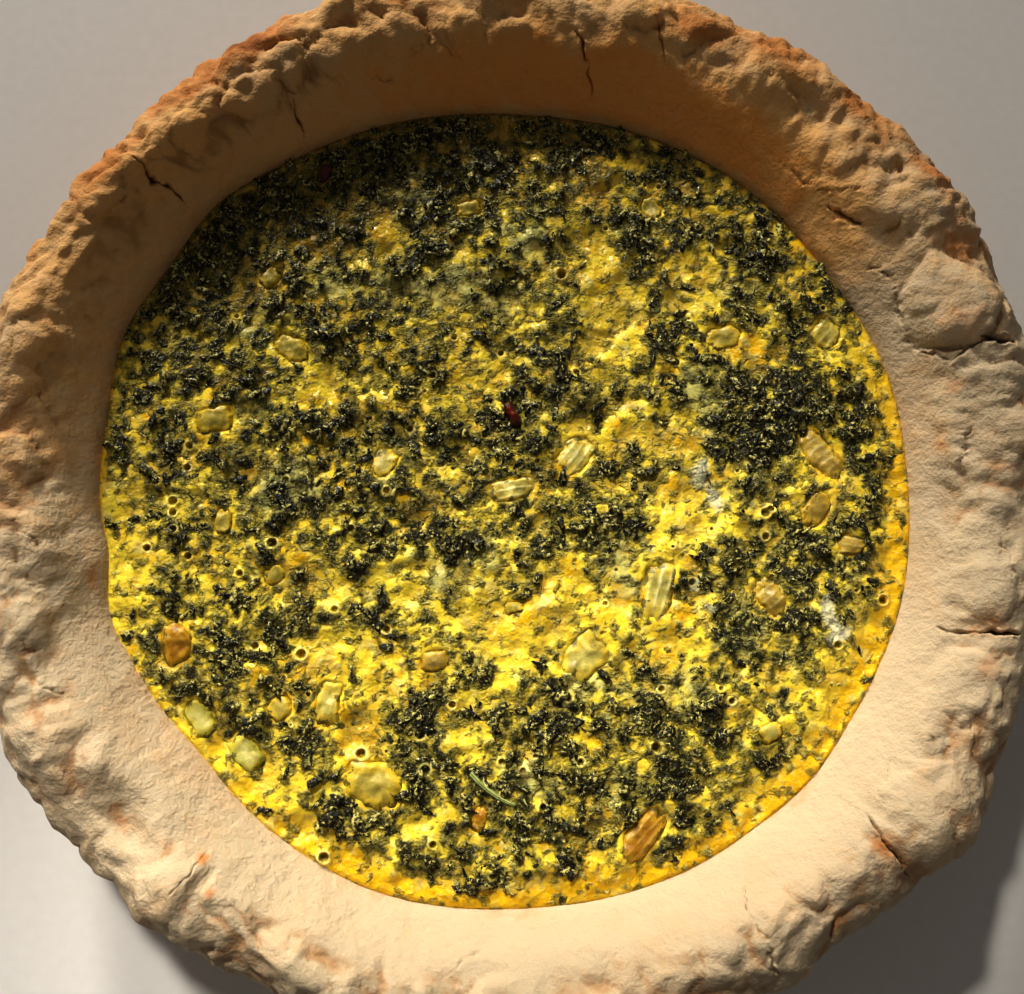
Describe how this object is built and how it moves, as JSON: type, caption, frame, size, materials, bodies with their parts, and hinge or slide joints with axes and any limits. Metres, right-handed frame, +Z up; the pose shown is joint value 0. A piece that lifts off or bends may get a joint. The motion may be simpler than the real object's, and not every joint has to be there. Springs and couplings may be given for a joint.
{
  "type": "quiche",
  "caption": "Deep round quiche: a thick hand-pinched pastry crust around a flat baked egg filling flecked with leaf, with pieces of cooked onion set into its top.",
  "frame": {"origin": "middle of the outline, on the surface that the flat base rests on", "axes": "+Z up through the filling; -Y is the side nearest the viewer, +X to the viewer's right"},
  "size_m": [0.2492, 0.2504, 0.0434],
  "materials": {
    "pastry": "matt pale baked pastry, browned at the tips",
    "egg": "moist baked egg, softly glossy, flecked with dark green leaf",
    "cooked_onion": "glossy translucent cooked onion"
  },
  "bodies": {
    "root": {"crust": "pastry", "filling": "egg", "onion_01": "cooked_onion", "onion_02": "cooked_onion", "onion_03": "cooked_onion", "onion_04": "cooked_onion", "onion_05": "cooked_onion", "onion_06": "cooked_onion", "onion_07": "cooked_onion", "onion_08": "cooked_onion", "onion_09": "cooked_onion", "onion_10": "cooked_onion", "onion_11": "cooked_onion", "onion_12": "cooked_onion", "onion_13": "cooked_onion", "onion_14": "cooked_onion", "onion_15": "cooked_onion", "onion_16": "cooked_onion", "onion_17": "cooked_onion", "onion_18": "cooked_onion", "onion_19": "cooked_onion"}
  },
  "joints": []
}
